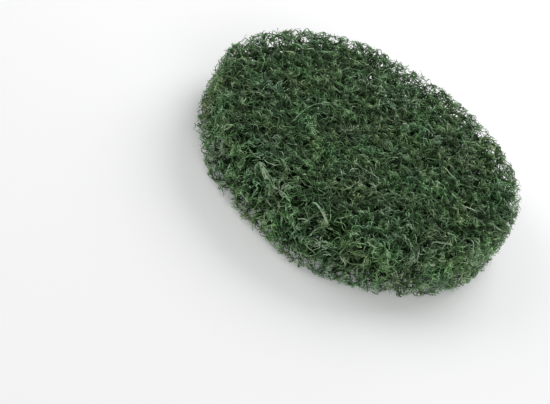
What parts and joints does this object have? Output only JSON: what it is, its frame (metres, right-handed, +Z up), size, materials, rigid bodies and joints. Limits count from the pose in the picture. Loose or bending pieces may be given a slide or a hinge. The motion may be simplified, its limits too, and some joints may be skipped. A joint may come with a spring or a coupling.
{
  "type": "scouring pad",
  "caption": "Round scouring pad: a thick, springy disc of open crimped-fibre web that scours with either face and with its rim.",
  "frame": {"origin": "middle of the lower face, on the surface that the pad lies on", "axes": "+Z up through the pad's thickness; +X and +Y lie in the plane of its faces"},
  "size_m": [0.0908, 0.0908, 0.017],
  "materials": {
    "fibre_web": "matte"
  },
  "bodies": {
    "root": {"scouring_pad": "fibre_web"}
  },
  "joints": []
}
